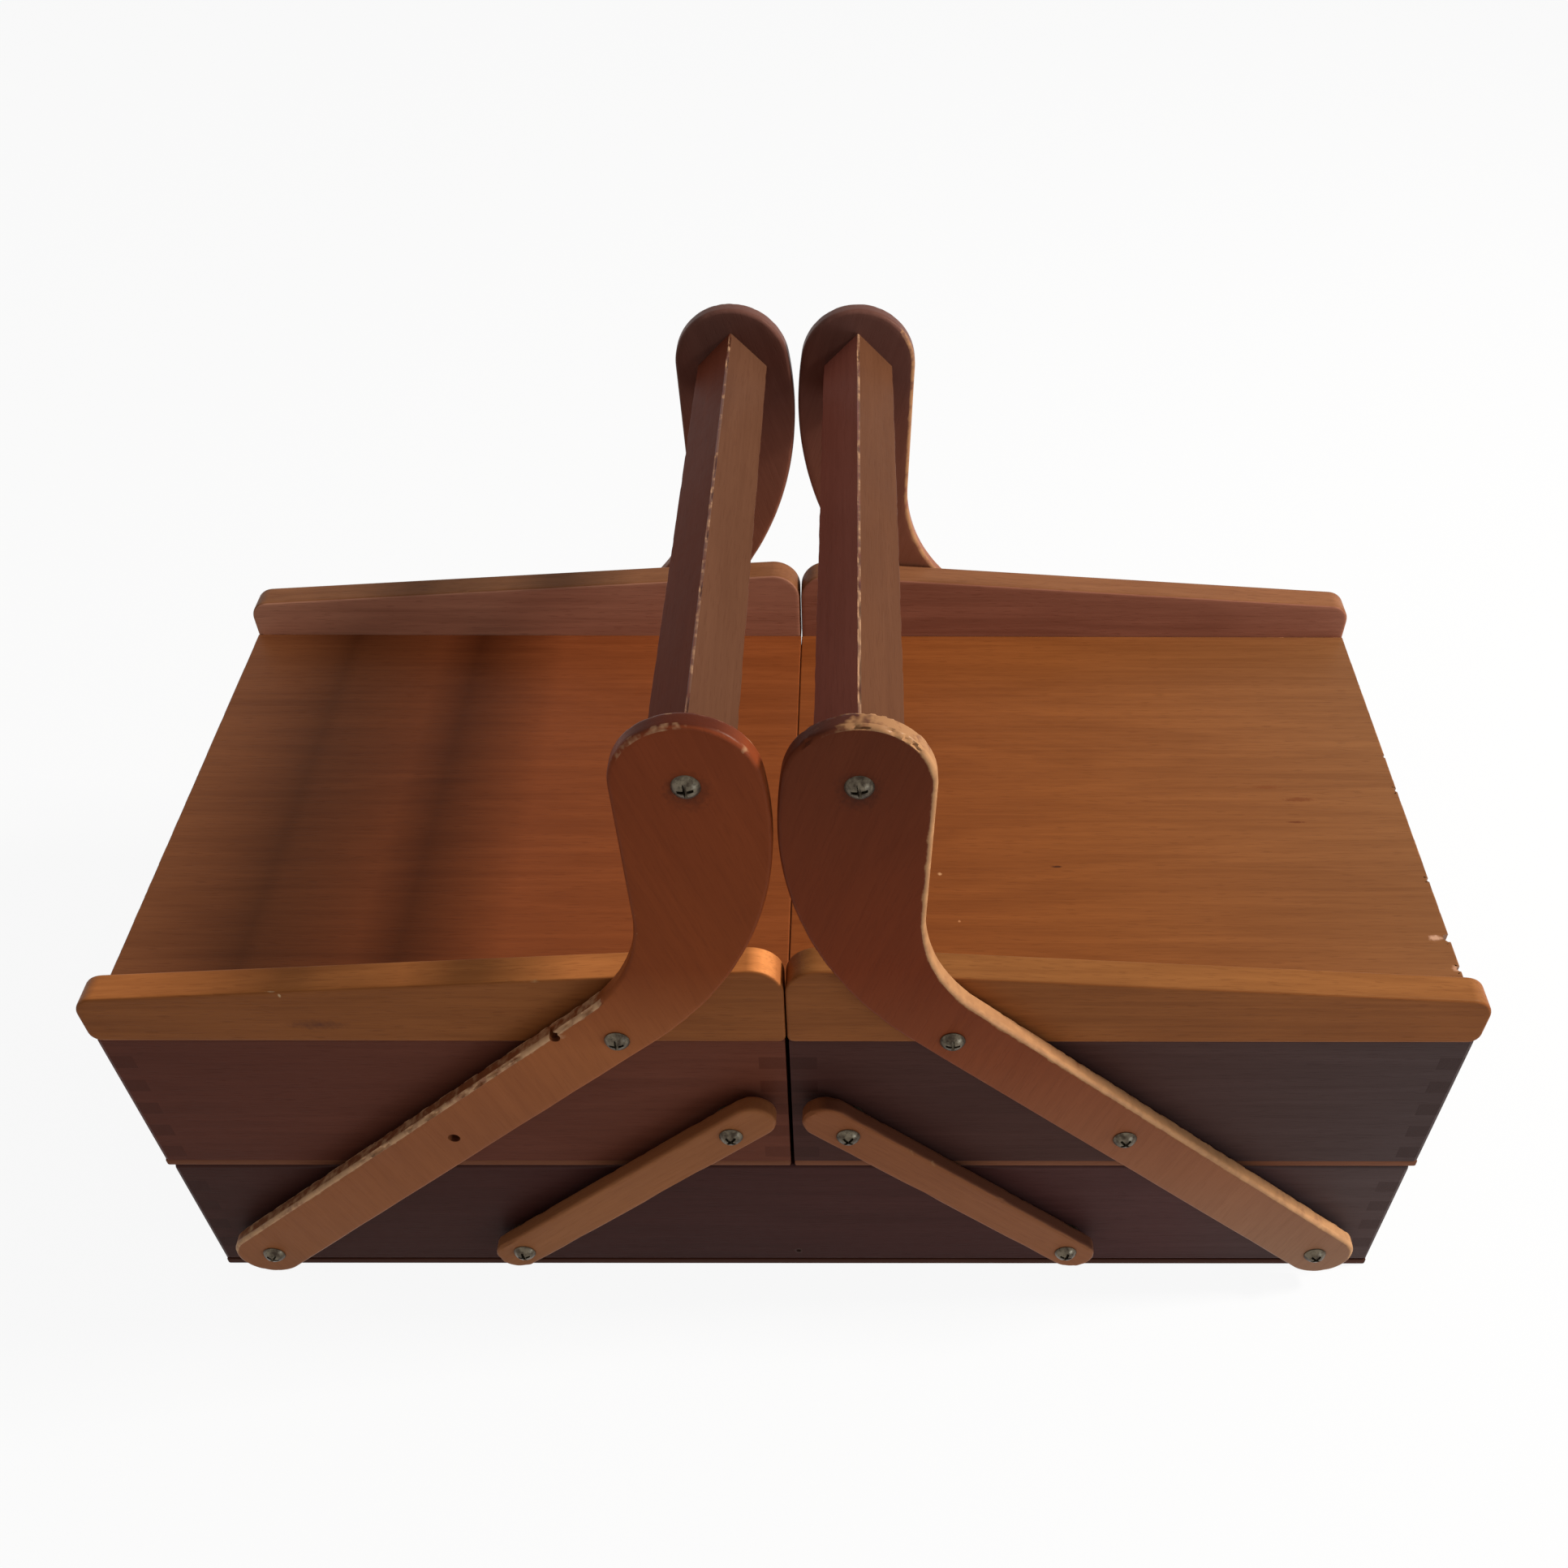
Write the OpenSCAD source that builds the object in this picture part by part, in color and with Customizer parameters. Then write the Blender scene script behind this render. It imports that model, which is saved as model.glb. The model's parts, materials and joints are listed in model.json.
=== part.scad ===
// Wooden sewing carrier that opens to both sides on levers, with two trays and two lids.
// Millimetres, +Z up. The origin is at the middle of the underside, and the front faces -Y.
// Each side is drawn on the +X side, with u the distance from the middle plane, and mirrored.

/* [Lower box] */
// Width of the lower box
box_w = 397; // [394:0.5:399]
// Depth of the box and the trays from front to back
carrier_d = 194; // [180:1:210]
// Height of the lower box with its bottom
box_h = 60.2; // [58:0.1:60.4]
// Thickness of every box and tray wall
wall_t = 8; // [6:0.5:9]
// Thickness of the plywood bottoms
ply_t = 3; // [2:0.5:4]

/* [Trays] */
// Width of both closed trays together
trays_w = 400; // [398:1:404]
// Height of a tray with its bottom
tray_h = 65; // [63:0.5:65]
// Gap between the lower box, a closed tray and its lid
seat_gap = 0.35; // [0.2:0.05:0.4]
// Gap between the left and the right half at the middle
middle_gap = 1.2; // [0.8:0.1:2]

/* [Finger joints] */
// Height of one finger in the corner joints
finger_h = 5.7; // [5:0.1:5.8]
// Distance from the rim to the first finger
finger_top = 8.5; // [7:0.1:9]
// Fingers at each corner of a tray
tray_fingers = 5; // [3:1:5]
// Fingers at each corner of the lower box
box_fingers = 4; // [2:1:4]

/* [Lids] */
// Thickness of the lid panel
panel_t = 5; // [4:0.5:6]
// Thickness of a lid rail
rail_t = 9.5; // [8:0.5:11]
// How far a rail stands proud of the tray wall
rail_proud = 1.5; // [0:0.1:1.8]
// Height of a rail at its outer end
rail_outer_h = 18.2; // [14:0.1:19]
// Height of a rail at the middle of the carrier
rail_inner_h = 31.6; // [28:0.1:32]

/* [Long levers] */
// Width of a long lever along its straight part
lever_w = 22; // [20:0.5:23]
// Thickness of the levers and the links
lever_t = 5.5; // [4:0.5:7]
// Spacer thickness between the walls and the levers, with the play
lever_gap = 2.5; // [2.2:0.1:3.5]
// Distance of the foot pivot from the middle plane
foot_u = 175; // [174:0.5:176]
// Height of the foot pivot
foot_z = 20; // [19:0.5:21]
// Sideways distance from a foot pivot to its tray pivot
swing_u = 73; // [72:0.5:74]
// Height from a foot pivot to its tray pivot
swing_z = 67.2; // [66.5:0.1:68]
// Distance of the lid pivot from the middle plane
lid_pivot_u = 47.2; // [46.5:0.1:48]
// Height of the lid pivot
lid_pivot_z = 134.8; // [134.2:0.1:135.4]

/* [Handle ends] */
// Height of the handle screw and of the rounded head's centre
head_z = 230.2; // [229:0.1:232]
// Radius of the rounded head of a long lever
head_r = 18.6; // [17:0.1:20]
// Radius of the long curve on the inner side of the neck
neck_r = 110; // [108:1:112]
// Height at which the two necks come closest
neck_z = 215; // [212:1:218]
// Distance of the neck's outer side from the middle plane
neck_u = 37.9; // [37:0.1:38.6]
// Radius of the hollow curve between the neck and the straight part
throat_r = 50; // [40:1:60]
// Side of the square handle bar, which stands on its edge
bar_s = 15; // [12:0.5:15.5]

/* [Links] */
// Width of a link
link_w = 14.5; // [12:0.5:16]
// Distance of the link's foot pivot from the middle plane
link_u = 90.8; // [90:0.1:92]
// Height of the link's foot pivot
link_z = 21.2; // [20:0.1:22]
// Distance that a link's round end stands past the centre of its foot screw
link_foot_past = 3.5; // [2:0.5:6]
// The same at the tray screw
link_tray_past = 9; // [4:0.5:9]

/* [Screws] */
// Diameter of a screw head
screw_head_d = 7.3; // [6:0.1:8]
// Height of a screw head
screw_head_h = 2.2; // [1.5:0.1:2.5]
// Diameter of a screw shank
screw_d = 3.6; // [3:0.1:4]
// How deep a screw goes into the wood
screw_grip = 6.8; // [5:0.1:7.2]
// How deep a handle screw goes into the end of its bar
bar_grip = 16; // [10:0.5:24]
// Outer diameter of a spacer washer
washer_d = 10; // [8:0.5:12]

/* [Hidden] */
$fn = 64;
// Radial play of a screw that a lever turns on, and of one that only holds
turn_play = 0.08;
hold_play = 0.03;
// Play along the screws on both sides of a lever
side_play = 0.3;
front_y = -carrier_d / 2;
lever_y = front_y - lever_gap;
lever_out_y = lever_y - lever_t;
tray_z = box_h + seat_gap;
rim_z = tray_z + tray_h;
lid_z = rim_z + seat_gap;
half_u = trays_w / 2;
inner_u = middle_gap / 2;
rail_y = front_y - rail_proud;

// Pivots of one side as [u, z]
FOOT = [foot_u, foot_z];
TRAY_PIVOT = [foot_u - swing_u, foot_z + swing_z];
LINK_FOOT = [link_u, link_z];
LINK_TRAY = [link_u - swing_u, link_z + swing_z];
LID_PIVOT = [lid_pivot_u, lid_pivot_z];

// Direction of the straight part, from the foot upwards, and its upper normal
swing_len = norm([swing_u, swing_z]);
along = [-swing_u, swing_z] / swing_len;
above = [swing_z, swing_u] / swing_len;

// The neck's inner curve touches the line beside the middle plane and the lever's lower edge
NECK = [inner_u + neck_r, neck_z];
HEAD = [NECK[0] - sqrt(pow(neck_r - head_r, 2) - pow(head_z - neck_z, 2)), head_z];
neck_foot = NECK - neck_r * above;
lower_edge = neck_foot * above;
upper_edge = lower_edge + lever_w;
mid_edge = (lower_edge + upper_edge) / 2;
// The throat curve touches the neck's outer side and the lever's upper edge
THROAT = [neck_u + throat_r, (upper_edge + throat_r - (neck_u + throat_r) * above[0]) / above[1]];
throat_corner = [neck_u, (upper_edge - neck_u * above[0]) / above[1]];
// Centre of the rounded foot end, a little past the foot screw
foot_past = 2;
FOOT_END = FOOT - foot_past * along + (mid_edge - FOOT * above) * above;

// Left is -1 and right is 1; front is -1 and back is 1
module on_side(side) {
    mirror([side < 0 ? 1 : 0, 0, 0]) children();
}

module on_face(face) {
    mirror([0, face > 0 ? 1 : 0, 0]) children();
}

// A (u, z) outline stood up and thickened towards the front from the plane y
module stand(y, thick) {
    translate([0, y, 0]) rotate([90, 0, 0]) linear_extrude(thick) children();
}

// A hole along Y at one pivot, from the plane y forwards
module hole(pivot, y, length, play) {
    stand(y, length) translate(pivot) circle(d = screw_d + 2 * play);
}

// The side walls' fingers in one corner column, whose near corner is at x, y
module fingers(x, y, rim, count) {
    for (i = [0:count - 1])
        translate([x, y, rim - finger_top - finger_h * (2 * i + 1)]) cube([wall_t, wall_t, finger_h]);
}

// Front wall between u0 and u1, with slots for the side walls' fingers and holes for the screws
module long_wall(u0, u1, z0, z1, count, pivots) {
    difference() {
        translate([u0, front_y, z0]) cube([u1 - u0, wall_t, z1 - z0]);
        fingers(u0, front_y, z1, count);
        fingers(u1 - wall_t, front_y, z1, count);
        for (pivot = pivots) hole(pivot, front_y + screw_grip + 0.3, screw_grip + 1.3, hold_play);
    }
}

// Side wall at u, with its fingers reaching through both corners
module short_wall(u, z0, z1, count) {
    inside = carrier_d - 2 * wall_t;
    translate([u, -inside / 2, z0]) cube([wall_t, inside, z1 - z0]);
    fingers(u, front_y, z1, count);
    fingers(u, -front_y - wall_t, z1, count);
}

// Round-head screw whose head sits on the plane y and whose point lies behind it
module screw(pivot, y, length) {
    dome_r = (pow(screw_head_d / 2, 2) + pow(screw_head_h, 2)) / (2 * screw_head_h);
    tip = screw_d * 0.7;
    translate([pivot[0], y, pivot[1]]) rotate([-90, 0, 0]) {
        cylinder(d = screw_d, h = length - tip);
        translate([0, 0, length - tip]) cylinder(d1 = screw_d, d2 = screw_d * 0.25, h = tip);
        intersection() {
            translate([0, 0, dome_r - screw_head_h]) sphere(r = dome_r);
            translate([0, 0, -screw_head_h]) cylinder(d = screw_head_d + 1, h = screw_head_h);
        }
    }
}

// Screw that a lever or link turns on, fixed in the wood behind the plane y
module pivot_screw(pivot, y) {
    head_y = lever_out_y - side_play;
    screw(pivot, head_y, y + screw_grip - head_y);
}

module washer(pivot) {
    difference() {
        stand(front_y, lever_gap - side_play) translate(pivot) circle(d = washer_d);
        hole(pivot, front_y + 1, lever_gap + 2, hold_play);
    }
}

// A tray's pieces, drawn on the +X side
module tray_long_wall(pivots) {
    color("#4a2c26") long_wall(inner_u, half_u, tray_z + ply_t, rim_z, tray_fingers, pivots);
}

module tray_short_wall(u) {
    color("#3c2420") short_wall(u, tray_z + ply_t, rim_z, tray_fingers);
}

module tray_bottom() {
    color("#8a5c3c") translate([inner_u, front_y, tray_z]) cube([half_u - inner_u, carrier_d, ply_t]);
}

// The lower box's pieces
module box_long_wall() {
    pivots = [for (s = [-1, 1], p = [FOOT, LINK_FOOT]) [s * p[0], p[1]]];
    color("#442822") long_wall(-box_w / 2, box_w / 2, ply_t, box_h, box_fingers, pivots);
}

module box_short_wall() {
    color("#38221e") short_wall(box_w / 2 - wall_t, ply_t, box_h, box_fingers);
}

module box_bottom() {
    color("#8a5c3c") translate([-box_w / 2, front_y, 0]) cube([box_w, carrier_d, ply_t]);
}

// Convex outline from its tangent points and corner circles: corners are [u, z, radius], counter-clockwise
function unit(v) = v / norm(v);
function corner_reach(a, b, c, r) = r * tan((180 - corner_angle(a, b, c)) / 2);
function corner_angle(a, b, c) = acos(unit(a - b) * unit(c - b));
function corner_centre(a, b, c, r) = b + unit(unit(a - b) + unit(c - b)) * r / sin(corner_angle(a, b, c) / 2);

module rounded_outline(corners) {
    n = len(corners);
    function at(i) = [corners[(i + n) % n][0], corners[(i + n) % n][1]];
    function reach(i) = corner_reach(at(i - 1), at(i), at(i + 1), corners[i][2]);
    polygon([for (i = [0:n - 1], side = [-1, 1]) at(i) + unit(at(i + side) - at(i)) * reach(i)]);
    for (i = [0:n - 1])
        translate(corner_centre(at(i - 1), at(i), at(i + 1), corners[i][2])) circle(r = corners[i][2]);
}

// Lid rail: tall at the middle, tapering outwards, with every corner eased
module lid_rail() {
    color("#9c6230") difference() {
        stand(rail_y + rail_t, rail_t) rounded_outline([
            [inner_u, lid_z, 1.5],
            [half_u, lid_z, 3.5],
            [half_u, lid_z + rail_outer_h, 7],
            [inner_u, lid_z + rail_inner_h, 9.5]
        ]);
        hole(LID_PIVOT, rail_y + screw_grip + 0.3, screw_grip + 1.3, hold_play);
    }
}

module lid_panel() {
    panel_y = rail_y + rail_t;
    color("#96521f") translate([inner_u, panel_y, lid_z]) cube([half_u - inner_u, -2 * panel_y, panel_t]);
}

// Long lever: a straight part from the foot, a throat, a neck curved inwards and a round head
module lever_outline() {
    throat_foot = THROAT - throat_r * above;
    foot_lower = FOOT_END - lever_w / 2 * above;
    foot_upper = FOOT_END + lever_w / 2 * above;
    translate(FOOT_END) circle(d = lever_w, $fn = 96);
    polygon([foot_lower, foot_upper, throat_foot, throat_corner, neck_foot]);
    // The neck's outer side leaves the head where the head is as wide as the neck
    head_drop = sqrt(pow(head_r, 2) - pow(neck_u - HEAD[0], 2));
    intersection() {
        translate(NECK) circle(r = neck_r, $fn = 180);
        polygon([[0, HEAD[1]], HEAD, [neck_u, HEAD[1] - head_drop], throat_corner, neck_foot, [0, neck_foot[1]]]);
    }
    difference() {
        polygon([throat_corner, throat_foot, THROAT, [neck_u, THROAT[1]]]);
        translate(THROAT) circle(r = throat_r, $fn = 180);
    }
    translate(HEAD) circle(r = head_r, $fn = 96);
}

module lever() {
    color("#8a5a32") difference() {
        stand(lever_y, lever_t) lever_outline();
        for (pivot = [FOOT, TRAY_PIVOT, LID_PIVOT]) hole(pivot, lever_y + 1, lever_t + 2, turn_play);
        hole(HEAD, lever_y + 1, lever_t + 2, hold_play);
    }
}

// A link lies on its own x axis, from its foot screw to its tray screw, before it is turned and placed
module link_outline() {
    x0 = -link_foot_past;
    x1 = swing_len + link_tray_past;
    difference() {
        union() {
            translate([x0, -link_w / 2]) square([x1 - x0, link_w]);
            for (x = [x0, x1]) translate([x, 0]) circle(d = link_w);
        }
        for (x = [0, swing_len]) translate([x, 0]) circle(d = screw_d + 2 * turn_play);
    }
}

module link() {
    color("#8f5e34") stand(lever_y, lever_t)
        translate(LINK_FOOT) rotate(atan2(along[1], along[0])) link_outline();
}

// Square bar on its edge between the two heads
module handle_bar() {
    color("#5c2e1e") difference() {
        translate([HEAD[0], -lever_y, HEAD[1]]) rotate([90, 45, 0]) linear_extrude(-2 * lever_y)
            square(bar_s, center = true);
        for (face = [-1, 1]) on_face(face) hole(HEAD, lever_y + bar_grip + 1, bar_grip + 2, hold_play);
    }
}

module handle_screws() {
    color("#8c8c88") for (face = [-1, 1]) on_face(face) screw(HEAD, lever_out_y, lever_t + bar_grip);
}

module lid_screws() {
    color("#8c8c88") for (face = [-1, 1]) on_face(face) pivot_screw(LID_PIVOT, rail_y);
}

// The right tray has all four screws; the left tray has lost the one in front at the long lever
module tray_screws(front_pivots) {
    color("#8c8c88") {
        for (pivot = front_pivots) pivot_screw(pivot, front_y);
        on_face(1) for (pivot = [TRAY_PIVOT, LINK_TRAY]) pivot_screw(pivot, front_y);
    }
}

module tray_washers() {
    color("#7d7d78") for (face = [-1, 1], pivot = [TRAY_PIVOT, LINK_TRAY]) on_face(face) washer(pivot);
}

module box_fixings() {
    for (side = [-1, 1], face = [-1, 1]) on_side(side) on_face(face) children();
}

module box_screws() {
    color("#8c8c88") box_fixings() for (pivot = [FOOT, LINK_FOOT]) pivot_screw(pivot, front_y);
}

module box_washers() {
    color("#7d7d78") box_fixings() for (pivot = [FOOT, LINK_FOOT]) washer(pivot);
}

on_face(-1) box_long_wall();  // box_front_wall
on_face(1) box_long_wall();  // box_back_wall
on_side(-1) box_short_wall();  // box_left_wall
on_side(1) box_short_wall();  // box_right_wall
box_bottom();
box_screws();
box_washers();

on_side(-1) tray_long_wall([TRAY_PIVOT, LINK_TRAY]);  // left_tray_front_wall
on_side(-1) on_face(1) tray_long_wall([TRAY_PIVOT, LINK_TRAY]);  // left_tray_back_wall
on_side(-1) tray_short_wall(half_u - wall_t);  // left_tray_outer_wall
on_side(-1) tray_short_wall(inner_u);  // left_tray_inner_wall
on_side(-1) tray_bottom();  // left_tray_bottom
on_side(-1) tray_screws([LINK_TRAY]);  // left_tray_screws
on_side(-1) tray_washers();  // left_tray_washers

on_side(1) tray_long_wall([TRAY_PIVOT, LINK_TRAY]);  // right_tray_front_wall
on_side(1) on_face(1) tray_long_wall([TRAY_PIVOT, LINK_TRAY]);  // right_tray_back_wall
on_side(1) tray_short_wall(half_u - wall_t);  // right_tray_outer_wall
on_side(1) tray_short_wall(inner_u);  // right_tray_inner_wall
on_side(1) tray_bottom();  // right_tray_bottom
on_side(1) tray_screws([TRAY_PIVOT, LINK_TRAY]);  // right_tray_screws
on_side(1) tray_washers();  // right_tray_washers

on_side(-1) lid_panel();  // left_lid_panel
on_side(-1) on_face(-1) lid_rail();  // left_lid_rail_front
on_side(-1) on_face(1) lid_rail();  // left_lid_rail_back
on_side(-1) lid_screws();  // left_lid_screws
on_side(1) lid_panel();  // right_lid_panel
on_side(1) on_face(-1) lid_rail();  // right_lid_rail_front
on_side(1) on_face(1) lid_rail();  // right_lid_rail_back
on_side(1) lid_screws();  // right_lid_screws

on_side(-1) on_face(-1) lever();  // left_lever_front
on_side(-1) on_face(1) lever();  // left_lever_back
on_side(-1) handle_bar();  // left_handle_bar
on_side(-1) handle_screws();  // left_handle_screws
on_side(1) on_face(-1) lever();  // right_lever_front
on_side(1) on_face(1) lever();  // right_lever_back
on_side(1) handle_bar();  // right_handle_bar
on_side(1) handle_screws();  // right_handle_screws

on_side(-1) on_face(-1) link();  // left_link_front
on_side(-1) on_face(1) link();  // left_link_back
on_side(1) on_face(-1) link();  // right_link_front
on_side(1) on_face(1) link();  // right_link_back
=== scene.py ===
import json
import math
import random

import bpy
from mathutils import Euler, Matrix, Vector, noise


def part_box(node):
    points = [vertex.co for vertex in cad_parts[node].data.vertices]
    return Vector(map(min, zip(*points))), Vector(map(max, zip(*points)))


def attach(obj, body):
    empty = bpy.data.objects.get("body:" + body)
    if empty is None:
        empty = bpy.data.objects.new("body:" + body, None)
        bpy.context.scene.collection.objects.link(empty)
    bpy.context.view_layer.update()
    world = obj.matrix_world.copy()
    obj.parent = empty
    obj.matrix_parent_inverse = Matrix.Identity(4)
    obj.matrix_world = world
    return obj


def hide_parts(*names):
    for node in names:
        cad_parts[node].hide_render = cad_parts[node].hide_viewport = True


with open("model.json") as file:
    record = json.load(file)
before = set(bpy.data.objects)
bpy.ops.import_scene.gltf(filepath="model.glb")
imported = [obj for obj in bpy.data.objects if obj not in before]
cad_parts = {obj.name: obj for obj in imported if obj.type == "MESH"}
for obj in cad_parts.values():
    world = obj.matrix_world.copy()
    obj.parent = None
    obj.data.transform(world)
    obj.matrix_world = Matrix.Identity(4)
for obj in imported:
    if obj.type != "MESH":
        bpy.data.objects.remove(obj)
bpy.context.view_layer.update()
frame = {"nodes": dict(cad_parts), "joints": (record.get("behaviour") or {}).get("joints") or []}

MM = 0.001
LEFT, RIGHT = -1, 1
FRONT, BACK = -1, 1
SIDES = {LEFT: "left", RIGHT: "right"}
FACES = {FRONT: "front", BACK: "back"}

# Pivots of the right side in the (u, z) plane, u being the distance from the middle plane
pivot_at = {joint["name"]: Vector((joint["pos_m"][0], joint["pos_m"][2])) for joint in frame["joints"]}
FOOT = pivot_at["right_open"]
TRAY_PIVOT = pivot_at["right_tray_turn"]
LINK_FOOT = pivot_at["right_link_turn"]
LID_PIVOT = pivot_at["right_lid_turn"]
LINK_TRAY = LINK_FOOT + TRAY_PIVOT - FOOT
handle_low, handle_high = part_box("right_handle_screws")
handle_middle = (handle_low + handle_high) / 2
HEAD = Vector((handle_middle.x, handle_middle.z))

# Sizes of the levers, links and screws: the planes are the frame's, the other sizes those of part.scad
LEVER_INNER_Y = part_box("right_lever_front")[1].y
LEVER_OUTER_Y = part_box("right_lever_front")[0].y
LEVER_WIDTH = 22 * MM
LINK_WIDTH = 14.5 * MM
HEAD_RADIUS = 18.6 * MM
# The neck's long inner curve, how near it comes to the middle plane and at which height
NECK_RADIUS = 110 * MM
NECK_INNER = 0.6 * MM
NECK_HEIGHT = 215 * MM
# The neck's outer side and the hollow curve below it
NECK_OUTER = 37.9 * MM
THROAT_RADIUS = 50 * MM
# How far the middles of the round ends stand past the screws
FOOT_PAST = 2 * MM
LINK_FOOT_PAST = 3.5 * MM
LINK_TRAY_PAST = 9 * MM
# Screws: the head's width and height, the shank, the hole in a lever and the grip in a wall
SCREW_HEAD = 7.3 * MM
SCREW_DOME = 2.2 * MM
SCREW_SHANK = 3.6 * MM
SCREW_HOLE = 3.76 * MM
SCREW_GRIP = 6.8 * MM
# Play between a screw's head and the lever that turns under it
PLAY = 0.3 * MM

# Direction of a right lever's straight part, from the foot upwards, and of its upper side
ALONG = (TRAY_PIVOT - FOOT).normalized()
ABOVE = Vector((ALONG.y, -ALONG.x))

# Points that are nearer than this are one point
SAME_POINT = 0.002 * MM


# Bench work: picking parts of a mesh, easing edges and keeping worn places


def put_down():
    for obj in bpy.context.selected_objects:
        obj.select_set(False)


def take(obj):
    if bpy.context.object and bpy.context.object.mode != "OBJECT":
        bpy.ops.object.mode_set(mode="OBJECT")
    put_down()
    obj.select_set(True)
    bpy.context.view_layer.objects.active = obj
    return obj


def named(name):
    obj = bpy.context.object
    obj.name = name
    obj.data.name = name
    return obj


def bake_place(obj):
    take(obj)
    bpy.ops.object.transform_apply(location=True, rotation=True, scale=True)
    return obj


def duplicate(source, name):
    """A copy with its own mesh."""
    obj = source.copy()
    obj.data = source.data.copy()
    bpy.context.scene.collection.objects.link(obj)
    obj.name = name
    obj.data.name = name
    return obj


def pick(obj, kind, chosen):
    """Enters edit mode with only the chosen faces or edges selected."""
    take(obj)
    bpy.ops.object.mode_set(mode="EDIT")
    bpy.ops.mesh.select_mode(type=kind)
    bpy.ops.mesh.select_all(action="DESELECT")
    bpy.ops.object.mode_set(mode="OBJECT")
    group = obj.data.polygons if kind == "FACE" else obj.data.edges
    group.foreach_set("select", chosen)
    bpy.ops.object.mode_set(mode="EDIT")


def pick_faces(obj, wanted):
    pick(obj, "FACE", [bool(wanted(face)) for face in obj.data.polygons])


def pick_edges(obj, wanted):
    points = obj.data.vertices
    ends = [[points[i].co for i in edge.vertices] for edge in obj.data.edges]
    pick(obj, "EDGE", [bool(wanted(*pair)) for pair in ends])


def edit_all(obj):
    """Enters edit mode with everything selected."""
    take(obj)
    bpy.ops.object.mode_set(mode="EDIT")
    bpy.ops.mesh.select_all(action="SELECT")


def finish_edit(obj):
    if obj.mode != "OBJECT":
        bpy.ops.object.mode_set(mode="OBJECT")
    return obj


def face_outwards(obj):
    edit_all(obj)
    bpy.ops.mesh.remove_doubles(threshold=SAME_POINT)
    bpy.ops.mesh.normals_make_consistent(inside=False)
    return finish_edit(obj)


def ease_edges(obj, width, steps=2, angle=35):
    """Rounds every sharp edge. The rounded strips have material index 1 until the worn places are kept."""
    take(obj)
    while len(obj.data.materials) < 2:
        obj.data.materials.append(None)
    bevel = obj.modifiers.new("eased edges", "BEVEL")
    bevel.width = width
    bevel.segments = steps
    bevel.limit_method = "ANGLE"
    bevel.angle_limit = math.radians(angle)
    bevel.material = 1
    bevel.miter_outer = "MITER_ARC"
    bpy.ops.object.modifier_apply(modifier=bevel.name)
    return obj


def border(obj, width, wanted):
    """A narrow ring just inside the flat faces, across which wear fades out.
    The faces are then cut into even triangles."""
    pick_faces(obj, lambda face: face.material_index == 0 and wanted(face))
    bpy.ops.mesh.inset(thickness=width, use_individual=True, use_even_offset=True)
    bpy.ops.mesh.quads_convert_to_tris(quad_method="BEAUTY", ngon_method="BEAUTY")
    return finish_edit(obj)


def keep_worn(obj, spill, rubbed, broad=lambda face, place: 0.0):
    """Writes how worn each face corner is: full on the rounded strips, fading over their neighbours.
    rubbed gives how much each place of an edge has been rubbed, broad how much a whole face has, and
    spill is the share that the neighbours take."""
    mesh = obj.data
    strip_points = set()
    for face in mesh.polygons:
        if face.material_index == 1:
            strip_points.update(face.vertices)
    here = {i: rubbed(mesh.vertices[i].co) for i in strip_points}
    worn = mesh.attributes.new("worn", "FLOAT", "CORNER")
    for face in mesh.polygons:
        share = 1.0 if face.material_index == 1 else spill
        for loop, point in zip(face.loop_indices, face.vertices):
            level = broad(face, mesh.vertices[point].co)
            if point in strip_points:
                level = max(level, share * here[point])
            worn.data[loop].value = level
    mesh.polygons.foreach_set("material_index", [0] * len(mesh.polygons))
    mesh.materials.clear()
    return obj


def smooth(obj, angle=30):
    take(obj)
    bpy.ops.object.shade_smooth_by_angle(angle=math.radians(angle))
    flat = obj.modifiers.new("flat faces stay flat", "WEIGHTED_NORMAL")
    flat.keep_sharp = True
    bpy.ops.object.modifier_apply(modifier=flat.name)
    return obj


def block(name, low, high):
    put_down()
    centre = (Vector(low) + Vector(high)) / 2
    bpy.ops.mesh.primitive_cube_add(size=1, location=centre, scale=Vector(high) - Vector(low))
    return bake_place(named(name))


def copy_of(node, name):
    """A joined-up copy of a frame solid, with flat faces made whole."""
    obj = duplicate(frame["nodes"][node], name)
    obj.parent = None
    for key in list(obj.keys()):
        del obj[key]
    obj.data.materials.clear()
    edit_all(obj)
    bpy.ops.mesh.remove_doubles(threshold=SAME_POINT)
    bpy.ops.mesh.dissolve_limited(angle_limit=math.radians(0.5))
    return finish_edit(obj)


def cut_away(obj, tool):
    take(obj)
    cut = obj.modifiers.new("cut", "BOOLEAN")
    cut.operation = "DIFFERENCE"
    cut.solver = "EXACT"
    cut.object = tool
    before = len(obj.data.polygons)
    bpy.ops.object.modifier_apply(modifier=cut.name)
    if len(obj.data.polygons) < before / 2:
        raise RuntimeError(f"the cut took too much of {obj.name}")
    bpy.data.objects.remove(tool)
    return obj


def drill(obj, place, radius, length):
    """Cuts with a rod along Y whose middle is at the place."""
    put_down()
    bpy.ops.mesh.primitive_cylinder_add(vertices=32, radius=radius, depth=length, location=place,
                                        rotation=(math.pi / 2, 0, 0))
    return cut_away(obj, bake_place(named("drill")))


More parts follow.
